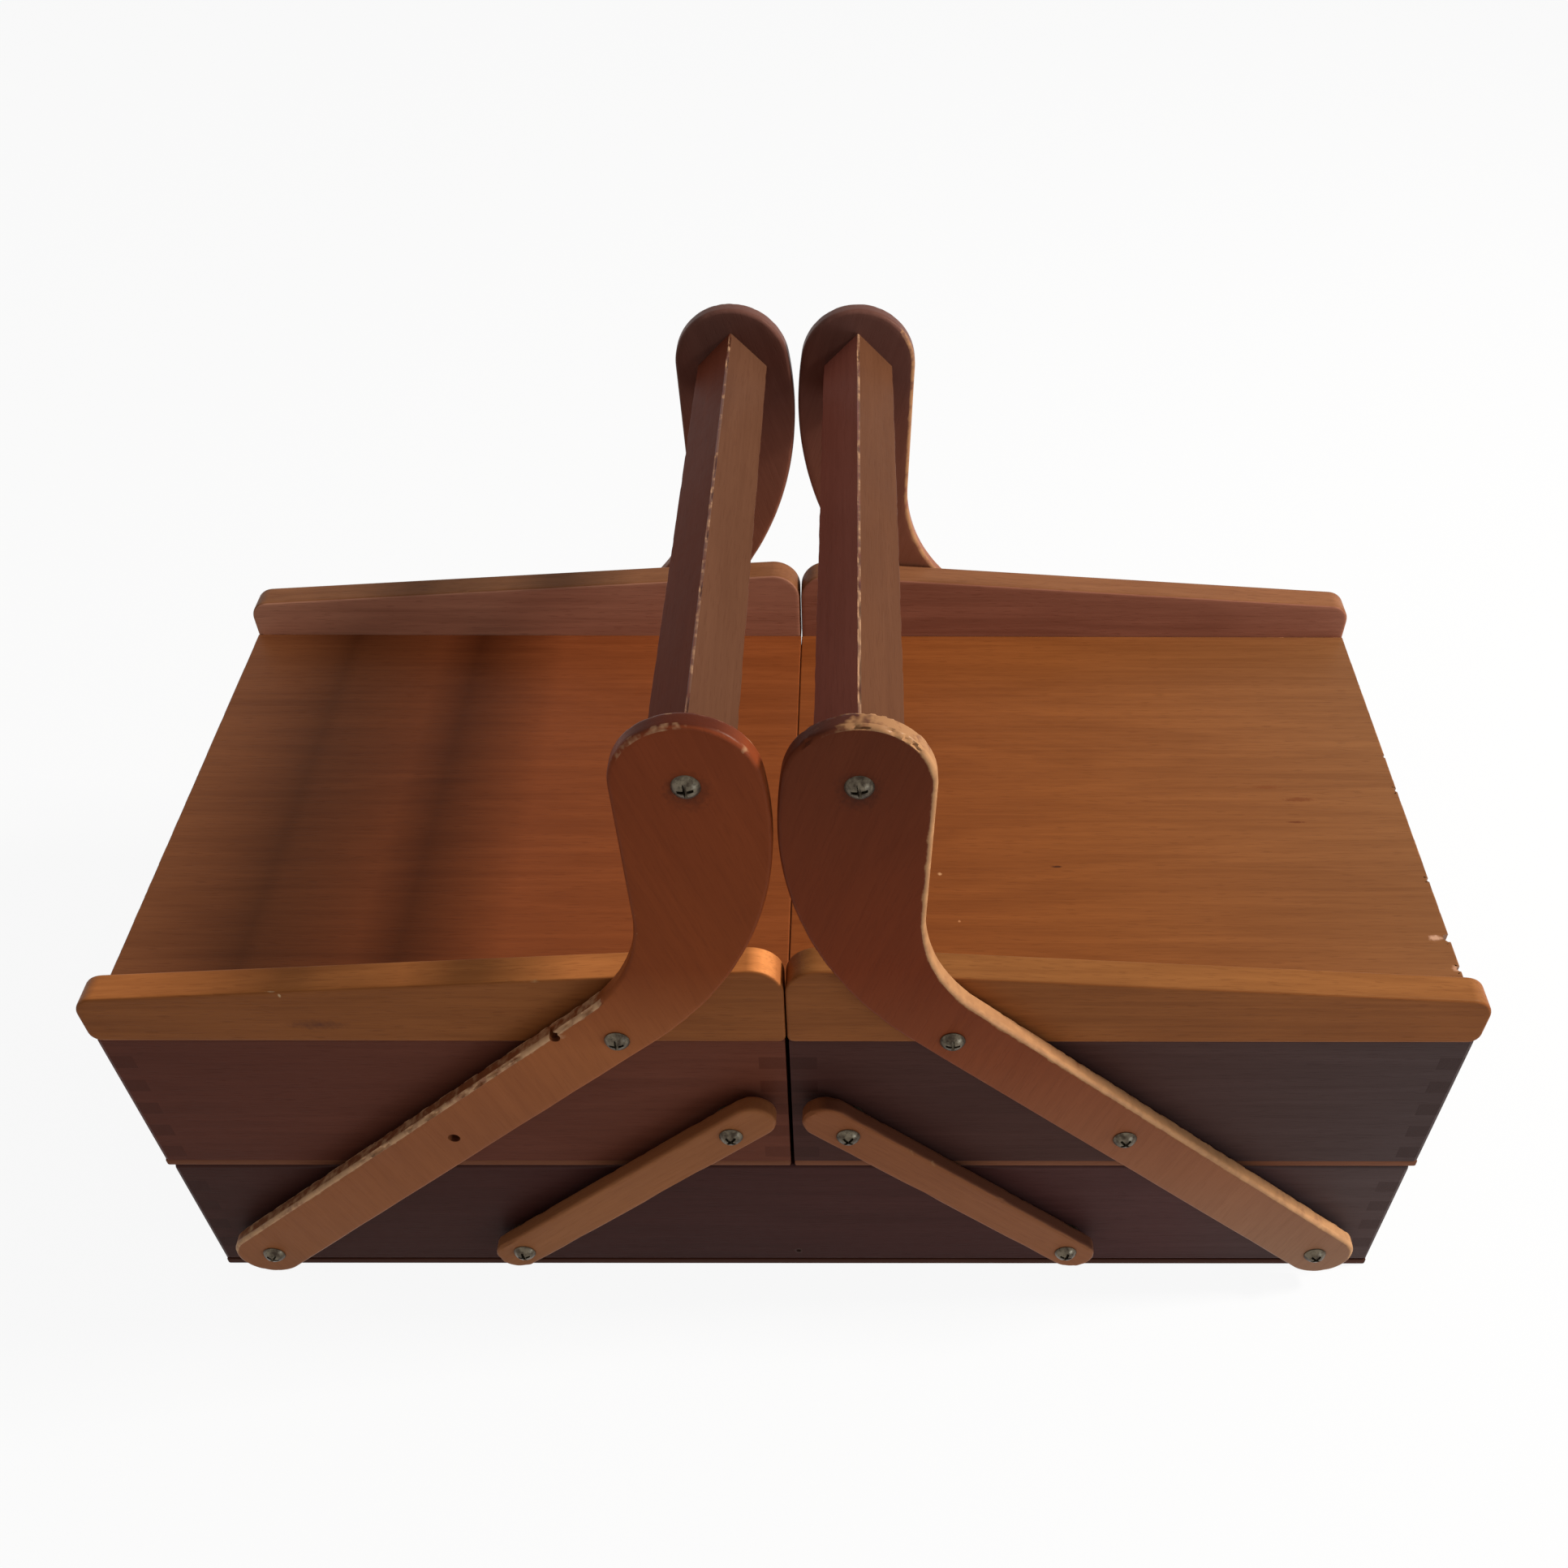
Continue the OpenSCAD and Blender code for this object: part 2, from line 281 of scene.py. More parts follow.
def batter(obj, depth, density, seed, knocked):
    """Dents the rounded edges with small bites, as deep as knocked(place) allows.
    density is how often the noise repeats in a metre. Flat faces keep their shape."""
    mesh = obj.data
    fixed = {point for face in mesh.polygons if face.material_index != 1 for point in face.vertices}
    outward = [point.normal.copy() for point in mesh.vertices]
    for point in mesh.vertices:
        if point.index in fixed:
            continue
        bite = noise.noise(point.co * density + Vector((seed, 0, 0))) - 0.02
        bite += 0.5 * noise.noise(point.co * density * 2.7 + Vector((0, seed, 0)))
        if bite > 0:
            point.co -= outward[point.index] * min(1.0, bite * 3) * depth * knocked(point.co)


def mirrored(obj, name, side, face):
    """A copy moved to one side and face of the carrier."""
    copy = duplicate(obj, name)
    copy.scale = (1 if side == RIGHT else -1, 1 if face == FRONT else -1, 1)
    return face_outwards(bake_place(copy))


def fit(obj, body, slot, material, *nodes):
    """Gives a finished piece its material and its place in the frame."""
    obj.data.materials.clear()
    obj.data.materials.append(material)
    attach(obj, body)
    if nodes:
        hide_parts(*nodes)
    return obj


# Outlines are walked round with one point: straight strokes are extruded and round ones spun

ANTICLOCKWISE, CLOCKWISE = 1, -1
# An outline's two ends are joined over a gap of up to this
CLOSING_GAP = 0.01 * MM


def at(u, z, y):
    return Vector((u, y, z))


class Outline:
    """The outline of a board, drawn in the plane y."""

    def __init__(self, name, start, y):
        put_down()
        self.y = y
        self.here = Vector(start)
        bpy.ops.mesh.primitive_plane_add(size=MM, location=at(*start, y))
        self.obj = bake_place(named(name))
        bpy.ops.object.mode_set(mode="EDIT")
        bpy.ops.mesh.select_mode(type="VERT")
        bpy.ops.mesh.merge(type="CENTER")
        bpy.ops.mesh.select_all(action="SELECT")

    def straight(self, end, step=None):
        end = Vector(end)
        count = max(1, round((end - self.here).length / step)) if step else 1
        move = (end - self.here) / count
        for _ in range(count):
            bpy.ops.mesh.extrude_vertices_move(TRANSFORM_OT_translate={"value": at(*move, 0)})
        self.here = end

    def round(self, centre, end, turn, step=1.2 * MM):
        """An arc about centre to end, ANTICLOCKWISE or CLOCKWISE as seen from the front."""
        centre = Vector(centre)
        start_arm = self.here - centre
        end_arm = Vector(end) - centre
        angle = math.atan2(end_arm.y, end_arm.x) - math.atan2(start_arm.y, start_arm.x)
        angle = angle % (2 * math.pi)
        if turn == CLOCKWISE:
            angle -= 2 * math.pi
        count = max(3, round(abs(angle) * start_arm.length / step))
        bpy.ops.mesh.spin(steps=count, angle=angle, center=at(*centre, self.y), axis=(0, 1, 0))
        self.here = Vector(end)

    def board(self, layers):
        """Closes the outline, fills it and thickens it through the given heights along y."""
        bpy.ops.mesh.select_all(action="SELECT")
        bpy.ops.mesh.remove_doubles(threshold=CLOSING_GAP)
        bpy.ops.mesh.edge_face_add()
        last = self.y
        for y in layers:
            bpy.ops.mesh.extrude_region_move(TRANSFORM_OT_translate={"value": (0, y - last, 0)})
            last = y
        bpy.ops.object.mode_set(mode="OBJECT")
        return face_outwards(self.obj)


def layered(near, far, edge):
    """Layers through a board's thickness, with one near each face so that wear stays near the edges."""
    return [near + math.copysign(edge, far - near), far - math.copysign(edge, far - near), far]


# Shader maths


class Value:
    """A socket that adds Math nodes as it is reckoned with."""

    def __init__(self, tree, socket):
        self.tree = tree
        self.socket = socket

    def maths(self, operation, *others, clamp=False):
        node = self.tree.nodes.new("ShaderNodeMath")
        node.operation = operation
        node.use_clamp = clamp
        for place, other in enumerate((self, *others)):
            if isinstance(other, Value):
                self.tree.links.new(other.socket, node.inputs[place])
            else:
                node.inputs[place].default_value = other
        return Value(self.tree, node.outputs[0])

    def __add__(self, other):
        return self.maths("ADD", other)

    __radd__ = __add__

    def __mul__(self, other):
        return self.maths("MULTIPLY", other)

    def __sub__(self, other):
        return self.maths("SUBTRACT", other)

    def __rsub__(self, other):
        node = self.tree.nodes.new("ShaderNodeMath")
        node.operation = "SUBTRACT"
        node.inputs[0].default_value = other
        self.tree.links.new(self.socket, node.inputs[1])
        return Value(self.tree, node.outputs[0])

    def __truediv__(self, other):
        return self.maths("DIVIDE", other)

    def __abs__(self):
        return self.maths("ABSOLUTE")

    def limited(self):
        return self.maths("ADD", 0.0, clamp=True)

    def most(self, other):
        return self.maths("MAXIMUM", other)

    def rise(self, low, high):
        """0 below low and 1 above high, with an even slope between."""
        return ((self - low) / (high - low)).limited()


class Finish:
    """One material: its nodes are made by type, with settings first and then sockets."""

    def __init__(self, name):
        self.material = bpy.data.materials.new(name)
        self.material.use_nodes = True
        self.tree = self.material.node_tree
        self.tree.nodes.clear()

    def node(self, kind, settings=None, **sockets):
        made = self.tree.nodes.new("ShaderNode" + kind)
        for key, value in (settings or {}).items():
            setattr(made, key, value)
        for key, value in sockets.items():
            self.plug(made.inputs[key.replace("_", " ")], value)
        return made

    def plug(self, socket, value):
        if isinstance(value, Value):
            self.tree.links.new(value.socket, socket)
        elif isinstance(value, bpy.types.NodeSocket):
            self.tree.links.new(value, socket)
        else:
            socket.default_value = value

    def value(self, socket):
        return Value(self.tree, socket)

    def places(self):
        return self.node("TexCoord").outputs["Object"]

    def mapped(self, vector, scale, turn=(0, 0, 0), shift=(0, 0, 0)):
        return self.node("Mapping", Vector=vector, Scale=scale, Rotation=turn, Location=shift).outputs[0]

    def noise(self, vector, scale, detail, rough=0.5, swirl=0.0):
        made = self.node("TexNoise", Vector=vector, Scale=scale, Detail=detail, Roughness=rough,
                         Distortion=swirl)
        return self.value(made.outputs["Fac"])

    def mix(self, share, one, other, blend="MIX"):
        made = self.tree.nodes.new("ShaderNodeMix")
        made.data_type = "RGBA"
        made.blend_type = blend
        self.plug(made.inputs[0], share)
        self.plug(made.inputs[6], one)
        self.plug(made.inputs[7], other)
        return made.outputs[2]

    def times(self, colour, factor):
        return self.mix(1.0, colour, factor, "MULTIPLY")

    def ramp(self, value, *stops):
        made = self.tree.nodes.new("ShaderNodeValToRGB")
        self.plug(made.inputs[0], value)
        points = made.color_ramp.elements
        while len(points) < len(stops):
            points.new(0.5)
        for point, (place, colour) in zip(points, stops):
            point.position = place
            point.color = colour
        return made.outputs[0]

    def attribute(self, name):
        made = self.node("Attribute", {"attribute_name": name})
        return self.value(made.outputs["Fac"])

    def apart(self, vector):
        made = self.node("SeparateXYZ", Vector=vector)
        return [self.value(made.outputs[i]) for i in range(3)]

    def vector_maths(self, operation, one, other=(0, 0, 0)):
        made = self.node("VectorMath", {"operation": operation})
        self.plug(made.inputs[0], one)
        self.plug(made.inputs[1], other)
        return made.outputs

    def faces(self, direction):
        """1 where the surface faces a direction, down to -1 where it faces away from it."""
        normal = self.node("TexCoord").outputs["Normal"]
        return self.value(self.vector_maths("DOT_PRODUCT", normal, direction)["Value"])

    def bump(self, height, strength, distance):
        return self.node("Bump", Height=height, Strength=strength, Distance=distance).outputs[0]

    def surface(self, **sockets):
        shader = self.node("BsdfPrincipled", **sockets)
        output = self.node("OutputMaterial")
        self.tree.links.new(shader.outputs[0], output.inputs[0])
        return self.material


def rgb(red, green, blue):
    """A colour as it is seen, from 0 to 255, turned into the light levels that the shaders use."""

    def level(seen):
        share = seen / 255
        return ((share + 0.055) / 1.055) ** 2.4 if seen > 10 else share / 12.92

    return level(red), level(green), level(blue), 1


def tinted(finish, along_axis, stops):
    """A colour that changes slowly along an axis: stops are (place in mm, red, green, blue)."""
    first, last = stops[0][0], stops[-1][0]
    reach = last - first
    place = finish.apart(finish.places())["xyz".index(along_axis)]
    return finish.ramp((place / MM - first) / reach,
                       *(((stop - first) / reach, rgb(*colour)) for stop, *colour in stops))


# How often the wood's figure repeats in a metre: along the grain and across it both ways
STREAKS = (14, 460, 460)
BANDS = (7, 44, 44)
FIBRES = (110, 1900, 1900)
PORES = (170, 2100, 2100)
# The same for clouds in the stain and for what hands have rubbed, alike all ways
CLOUDS = 12.0
RUBS = 300.0
# How far a seed of 1 moves the figure along each axis
SEED_STEP = (0.37, 0.91, 0.53)
# Factors on the base colour in its palest and deepest figure, and on the worn colour for the palest rounded
# strips: bare wood and a painted glint
PALE = (1.25, 1.28, 1.28, 1)
DEEP = (0.72, 0.66, 0.64, 1)
BARE_AND_GLINT = (1.35, 1.38, 1.35, 1)


def wood(name, base, grain, seed, worn, *, figure=0.5, gloss=0.45, shine=0.06, wear, mottle=0.25, marks=()):
    """Varnished wood of a base colour, which is one colour or (axis, stops) for tinted().
    grain is its angle in degrees, from +X up towards +Z, or "depth" for wood that runs along Y. worn is
    the colour under the varnish, figure how strong the grain is, gloss how rough the varnish is, shine
    how much it mirrors, wear how bare worn places are and mottle how cloudy the stain is. marks are
    functions that each paint one mark."""
    finish = Finish(name)
    places = finish.places()
    if grain == "depth":
        turn = (0, 0, math.radians(-90))
        along = (0, 1, 0)
    else:
        angle = math.radians(grain)
        turn = (0, angle, 0)
        along = (math.cos(angle), 0, math.sin(angle))
    laid = finish.mapped(places, (1, 1, 1), turn, tuple(step * seed for step in SEED_STEP))
    streaks = finish.noise(finish.mapped(laid, STREAKS), 1.0, detail=2, rough=0.6, swirl=0.6)
    bands = finish.noise(finish.mapped(laid, BANDS), 1.0, detail=2, swirl=2.4)
    fibres = finish.noise(finish.mapped(laid, FIBRES), 1.0, detail=1, rough=0.6)
    pores = finish.noise(finish.mapped(laid, PORES), 1.0, detail=0).rise(0.62, 0.74)
    cloud = finish.noise(places, CLOUDS + 0.3 * seed, detail=2)
    rub = finish.noise(places, RUBS, detail=2, rough=0.6)
    tone = (streaks.rise(0.3, 0.7) * 0.55 + bands.rise(0.34, 0.66) * 0.45 - 0.5) * figure
    tone = (tone + (cloud - 0.5) * mottle + (fibres - 0.5) * 0.16 + 0.5).limited()
    if isinstance(base[0], str):
        base = tinted(finish, *base)
    deep = finish.times(base, DEEP)
    colour = finish.mix(tone, deep, finish.times(base, PALE))
    colour = finish.mix(pores * figure * 0.7, colour, deep)
    # End grain drinks more stain, most of all in strongly figured wood
    end = abs(finish.faces(along)).rise(0.75, 0.95)
    colour = finish.mix(end * (0.8 if figure > 0.4 else 0.3), colour, deep)
    for mark in marks:
        colour = mark(finish, places, colour)
    # Worn places lose their varnish in patches, and the rounded strips among them are palest: bare wood
    # with a painted glint
    edge = finish.attribute("worn")
    bare = (edge * (0.6 + wear) + (rub - 0.5) * 1.3 + (cloud - 0.5) * 0.8 - 0.7).rise(0.0, 0.35)
    bare = bare * edge.rise(0.02, 0.25)
    raw = finish.mix(edge.rise(0.85, 1.0) * rub.rise(0.4, 0.6) * 0.6, worn, finish.times(worn, BARE_AND_GLINT))
    colour = finish.mix(bare * 0.8, colour, raw)
    rough = gloss + (cloud - 0.5) * 0.15 + (rub - 0.5) * 0.12 + bare * 0.2
    height = fibres * 0.25 - pores * figure * 0.6 - bare * 1.0
    varnish = edge.rise(0.5, 1.0) * (0.4 - bare * 0.25)
    return finish.surface(Base_Color=colour, Roughness=rough.limited(), Specular_IOR_Level=shine,
                          Specular_Tint=(1, 0.75, 0.55, 1), Coat_Weight=varnish.limited(),
                          Coat_Roughness=0.3, Normal=finish.bump(height, strength=0.2, distance=0.3 * MM))


def spot(centre, size, colour, strength=1.0, narrow=(1, 1, 1), sharp=0.8):
    """A small mark at one place on the surface. narrow above 1 makes it narrower along an axis and below 1
    longer, and a low sharp gives it a soft rim."""

    def paint(finish, places, base):
        away = finish.vector_maths("SUBTRACT", places, centre)["Vector"]
        shaped = finish.vector_maths("MULTIPLY", away, narrow)["Vector"]
        length = finish.value(finish.vector_maths("LENGTH", shaped)["Value"])
        ragged = finish.noise(places, 900.0, detail=2) * size * 0.8
        inside = 1 - (length + ragged).rise(size * sharp, size * 1.3)
        return finish.mix(inside * strength, base, colour)

    return paint


def paint_light_by_facing(direction, shade):
    """Painted light and shade: multiplies red, green and blue by a factor where the surface faces one way.
    """

    def paint(finish, places, base):
        share = finish.faces(Vector(direction).normalized()).rise(0.6, 0.9)
        return finish.mix(share, base, finish.times(base, (*shade, 1)))

    return paint


def steel(name):
    finish = Finish(name)
    places = finish.places()
    stain = finish.noise(places, 420.0, detail=4, rough=0.6)
    speck = finish.noise(places, 1600.0, detail=2, rough=0.6)
    colour = finish.mix(stain.rise(0.4, 0.65), rgb(104, 94, 78), rgb(56, 46, 36))
    colour = finish.mix(speck.rise(0.58, 0.7) * 0.6, colour, rgb(40, 33, 27))
    rough = 0.36 + (stain - 0.5) * 0.4
    return finish.surface(Base_Color=colour, Roughness=rough.limited(), Metallic=0.85,
                          Normal=finish.bump(stain + speck, strength=0.12, distance=0.1 * MM))


# Colours as the photograph shows them; those with an axis have their stops for tinted()
RUBBED = rgb(178, 134, 92)
RUBBED_DARK = rgb(132, 88, 62)
# Rubbed colours of the levers; on the right lever's upper edge this is also a painted highlight
RUBBED_LEVER_AND_GLINT = {LEFT: rgb(204, 160, 120), RIGHT: rgb(182, 134, 92)}
RUBBED_LID = rgb(190, 140, 100)
RUBBED_BAR = rgb(172, 132, 102)
# The front levers go darker towards the head: painted shade over the wood's own colour
LEVER_TINTS = {LEFT: ("z", [(15, 159, 100, 62), (85, 149, 89, 54), (130, 162, 95, 54),
                            (165, 134, 64, 28), (245, 128, 60, 33)]),
               RIGHT: ("z", [(15, 149, 108, 82), (70, 148, 93, 63), (125, 134, 69, 40),
                             (165, 119, 51, 24), (245, 102, 49, 30)])}
BACK_LEVER_TINTS = ("z", [(15, 148, 98, 66), (130, 138, 80, 52), (165, 156, 100, 76),
                          (205, 132, 84, 68), (225, 110, 72, 62), (245, 108, 72, 63)])
LINK_TINTS = {LEFT: ("z", [(15, 158, 103, 66), (100, 152, 95, 58)]),
              RIGHT: ("z", [(15, 144, 91, 60), (100, 140, 84, 52)])}
RAIL_WOOD = {FRONT: rgb(142, 84, 44), BACK: rgb(138, 90, 60)}
LID_VENEER = {LEFT: ("x", [(-200, 126, 76, 46), (-120, 128, 66, 36), (0, 136, 72, 36)]),
              RIGHT: ("x", [(0, 136, 72, 34), (90, 134, 77, 38), (200, 128, 83, 50)])}
BAR_WOOD = rgb(99, 59, 40)
# The box and the right tray turn greyer and bluer towards the right end: the dark stain with a painted
# bluish sheen there
BOX_STAIN_AND_SHEEN = ("x", [(-180, 69, 39, 34), (-40, 66, 36, 33), (60, 70, 40, 37),
                   (125, 79, 50, 48), (180, 80, 63, 61)])
TRAY_STAIN_AND_SHEEN = {LEFT: ("x", [(-190, 93, 50, 39), (-95, 100, 55, 42), (0, 106, 58, 43)]),
              RIGHT: ("x", [(0, 71, 42, 37), (95, 75, 49, 44), (190, 75, 59, 57)])}
PLY = rgb(122, 76, 54)
STAINED_PLY = rgb(78, 46, 36)

# Painted light and shade: the same wood made lighter or darker where it faces one way; a direction and
# factors on red, green and blue
# Painted shade on the front levers' upward faces
LEVER_TOP_PAINTED_SHADE = {LEFT: ((0, 0, 0.9), (0.45, 0.45, 0.6)),
                   RIGHT: ((-0.4, 0, 0.9), (0.62, 0.6, 0.72))}
# Painted shadow of the lever on the right front link's upper side
LINK_TOP_PAINTED_SHADOW = ((0.5, 0, 0.85), (0.5, 0.5, 0.65))
# Painted light on the front rails' top faces and on the left front rail's sloped end
RAIL_TOP_PAINTED_LIGHT = {LEFT: ((0, 0, 1), (1.65, 1.75, 1.75)),
                  RIGHT: ((0, 0, 1), (1, 1.15, 1.2))}
RAIL_END_PAINTED_LIGHT = ((0.75, 0, 0.65), (1.9, 2.0, 2.1))
# Painted light on the back rails' faces towards the front
BACK_RAIL_PAINTED_LIGHT = {LEFT: ((0, -1, 0), (2.1, 2.4, 3.4)),
                   RIGHT: ((0, -1, 0), (1.6, 1.6, 2.2))}
# Painted light and shade on the two upper faces of each handle bar
BAR_PAINTED_LIGHT_AND_SHADE = {LEFT: (((-1, 0, 1), (1.4, 1.0, 1.1)), ((1, 0, 1), (0.98, 1.2, 1.35))),
              RIGHT: (((-1, 0, 1), (2.65, 2.35, 3.3)), ((1, 0, 1), (0.93, 1.05, 1.05)))}


def stained(name, base, grain, seed, marks=()):
    return wood(name, base, grain, seed, RUBBED_DARK, gloss=0.5, shine=0.05, wear=0.0, mottle=0.35,
                marks=marks)


finishes = {
    "steel": steel("tarnished steel"),
    "ply": wood("thin plywood", PLY, 0, 3, RUBBED_DARK, gloss=0.55, wear=0.0),
    "stained ply": wood("stained thin plywood", STAINED_PLY, 0, 4, RUBBED_DARK, gloss=0.55, wear=-0.1),
}


# Lower box

# A nail hole in the front of the lower box, from a drill with its middle at the wall's surface
NAIL_X = 0.6 * MM
NAIL_Z = 8.8 * MM
NAIL_RADIUS = 0.8 * MM
NAIL_DRILL = 6 * MM
# Edges that are longer than this aren't fingers
LONGER_THAN_FINGERS = 20 * MM


def wall_edges(obj, outer_x, outer_y, rim, width=1.4 * MM):
    """Eases the rim and the outer corners of a finger-jointed wall."""
    near = 0.05 * MM

    def wanted(a, b):
        on_rim = abs(a.z - rim) < near and abs(b.z - rim) < near
        on_corner = all(abs(abs(p.x) - outer_x) < near and abs(abs(p.y) - outer_y) < near for p in (a, b))
        outside = all(abs(abs(p.y) - outer_y) < near or abs(abs(p.x) - outer_x) < near for p in (a, b))
        return (on_rim and (outside or (a - b).length > LONGER_THAN_FINGERS)) or on_corner

    pick_edges(obj, wanted)
    bpy.ops.mesh.bevel(offset=width, segments=2, material=1, loop_slide=False)
    return finish_edit(obj)


def jointed_wall(node, name, body, material, outer_x, outer_y, nail_hole=None):
    """A finger-jointed wall, with a nail hole if its place is given."""
    obj = copy_of(node, name)
    if nail_hole:
        drill(obj, nail_hole, NAIL_RADIUS, NAIL_DRILL)
    # The second slot marks the eased strips
    for _ in range(2):
        obj.data.materials.append(None)
    wall_edges(obj, outer_x, outer_y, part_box(node)[1].z)
    keep_worn(obj, spill=0.0, rubbed=lambda place: 0.6)
    smooth(obj)
    return fit(obj, body, "stained_wood", material, node)


def bottom_board(node, name, body, finish):
    obj = block(name, *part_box(node))
    ease_edges(obj, 0.6 * MM)
    border(obj, 1.2 * MM, lambda face: abs(face.normal.z) > 0.9)
    keep_worn(obj, spill=0.5, rubbed=lambda place: 0.5)
    smooth(obj)
    return fit(obj, body, "plywood", finishes[finish], node)


def lower_box():
    outer_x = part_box("box_right_wall")[1].x
    outer_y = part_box("box_back_wall")[1].y
    nail_hole = Vector((NAIL_X, -outer_y, NAIL_Z))
    # A paler rim round the nail hole and a dark spot painted as the shade inside it
    marks = [spot(nail_hole, 2.0 * MM, rgb(98, 74, 66), strength=0.5),
             spot(nail_hole, 1.1 * MM, rgb(16, 9, 8))]
    material = stained("dark stain box front", BOX_STAIN_AND_SHEEN, 0, 1, marks)
    jointed_wall("box_front_wall", "box_front_board", "base", material, outer_x, outer_y, nail_hole)
    for seed, (place, grain) in enumerate((("back", 0), ("left", "depth"), ("right", "depth")), 2):
        material = stained(f"dark stain box {place}", BOX_STAIN_AND_SHEEN, grain, seed)
        jointed_wall(f"box_{place}_wall", f"box_{place}_board", "base", material, outer_x, outer_y)
    bottom_board("box_bottom", "box_bottom_ply", "base", "stained ply")


# Trays

TRAY_SEED = {LEFT: 5, RIGHT: 9}


def tray(side):
    word = SIDES[side]
    body = f"{word}_tray"
    outer_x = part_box("right_tray_outer_wall")[1].x
    outer_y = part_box("right_tray_back_wall")[1].y
    walls = (("front", 0), ("back", 0), ("outer", "depth"), ("inner", "depth"))
    for seed, (place, grain) in enumerate(walls, TRAY_SEED[side]):
        material = stained(f"dark stain {word} tray {place}", TRAY_STAIN_AND_SHEEN[side], grain, seed)
        jointed_wall(f"{body}_{place}_wall", f"{body}_{place}_board", body, material, outer_x, outer_y)
    bottom_board(f"{body}_bottom", f"{body}_ply", body, "ply")


# Lids

# Lid boards and rails come a little nearer to the middle than the solids, as in the photograph
PANEL_INWARDS = 0.5 * MM
RAIL_INWARDS = 0.4 * MM
RAIL_INNER_HEIGHT = 31.6 * MM
RAIL_OUTER_HEIGHT = 18.2 * MM
LID_SEED = {LEFT: 11, RIGHT: 12}
# Notches in the right lid's free edge: place along Y, length and depth in mm
NOTCHES = ((-61.8, 3.6, 2.2), (-74.2, 2.4, 1.4), (-37, 2.0, 1.0), (5, 2.2, 1.1), (22, 1.8, 1.0))
# How far a notch's tool reaches above and below the edge, in mm
NOTCH_TOOL = 8
# Flecks, knots and bare notches on the right lid: place (x, y) and size in mm, then as spot() takes them
# colour, strength, narrow and sharp
LID_MARKS = (
    ((46.4, -34.9), 0.9, rgb(206, 150, 104), 0.9),
    ((51.6, -55.2), 0.6, rgb(196, 130, 84), 0.8),
    ((83.5, -31.6), 1.6, rgb(60, 30, 18), 0.85, (0.7, 2.4, 1)),
    ((166.3, 0.1), 3.2, rgb(104, 50, 24), 0.55, (0.5, 2.2, 1)),
    ((163.3, -10.8), 2.4, rgb(92, 42, 22), 0.7, (0.6, 3.5, 1)),
    ((156.6, 6.1), 3.0, rgb(110, 54, 26), 0.45, (0.5, 2.6, 1)),
    ((195.5, -61.8), 1.8, rgb(196, 150, 122), 0.95, (0.6, 1.2, 0.4)),
    ((198.5, -74.2), 1.4, rgb(190, 142, 112), 0.9, (0.9, 0.9, 0.4)),
)
# The same for a scratch of two strokes and a dark patch of painted shadow from the handle on the left front
# rail, with place (x, z)
RAIL_SCRATCH_AND_SHADOW = (
    ((-143.2, 147.8), 0.55, rgb(206, 170, 130), 0.85, (0.2, 1, 1.8)),
    ((-140.5, 146.4), 0.5, rgb(206, 170, 130), 0.85, (1, 1, 0.5)),
    # Painted shadow of the handle
    ((-133.5, 133.5), 5.0, rgb(74, 40, 36), 0.75, (0.45, 1, 1.8), 0.2),
)


def chip(centre, reach):
    """A ragged little wedge to break out of an edge."""
    put_down()
    bpy.ops.mesh.primitive_cylinder_add(vertices=7, radius=1, depth=2, location=centre, scale=reach)
    return bake_place(named("chip"))


def lid_panel(side):
    """A lid board whose free outer edge is nicked and splintered."""
    word = SIDES[side]
    node = f"{word}_lid_panel"
    low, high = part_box(node)
    outer = high.x if side == RIGHT else low.x
    if side == RIGHT:
        low = low - Vector((PANEL_INWARDS, 0, 0))
    else:
        high = high + Vector((PANEL_INWARDS, 0, 0))
    obj = block(f"{word}_lid_board", low, high)

    def from_end(place):
        return abs(place.x - outer)

    near = 0.1 * MM
    pick_edges(obj, lambda a, b: from_end(a) < near and from_end(b) < near and abs(a.y - b.y) > near)
    bpy.ops.mesh.subdivide(number_cuts=140)
    finish_edit(obj)
    ease_edges(obj, 0.45 * MM, steps=4)
    if side == RIGHT:
        for middle_y, length, depth in NOTCHES:
            reach = Vector((depth, length / 2, NOTCH_TOOL)) * MM
            cut_away(obj, chip(Vector((outer, middle_y * MM, high.z)), reach))
    batter(obj, depth=0.8 * MM, density=150, seed=21 + side,
           knocked=lambda place: 1.0 if from_end(place) < 1.5 * MM else 0.0)
    border(obj, 1.0 * MM, lambda face: abs(face.normal.z) > 0.9)

    def broad(face, place):
        return 0.9 if abs(face.normal.z) < 0.7 and from_end(place) < 2.5 * MM else 0.0

    keep_worn(obj, spill=0.6, rubbed=lambda place: 0.85 if from_end(place) < 3 * MM else 0.25, broad=broad)
    smooth(obj)
    marks = []
    if side == RIGHT:
        marks = [spot((x * MM, y * MM, high.z), size * MM, *look) for (x, y), size, *look in LID_MARKS]
    material = wood(f"{word} lid veneer", LID_VENEER[side], 0, LID_SEED[side], RUBBED_LID,
                    figure=0.62, gloss=0.42, shine=0.08, wear=0.2, mottle=0.35, marks=marks)
    return fit(obj, f"{word}_lid", "lid_veneer", material, node)


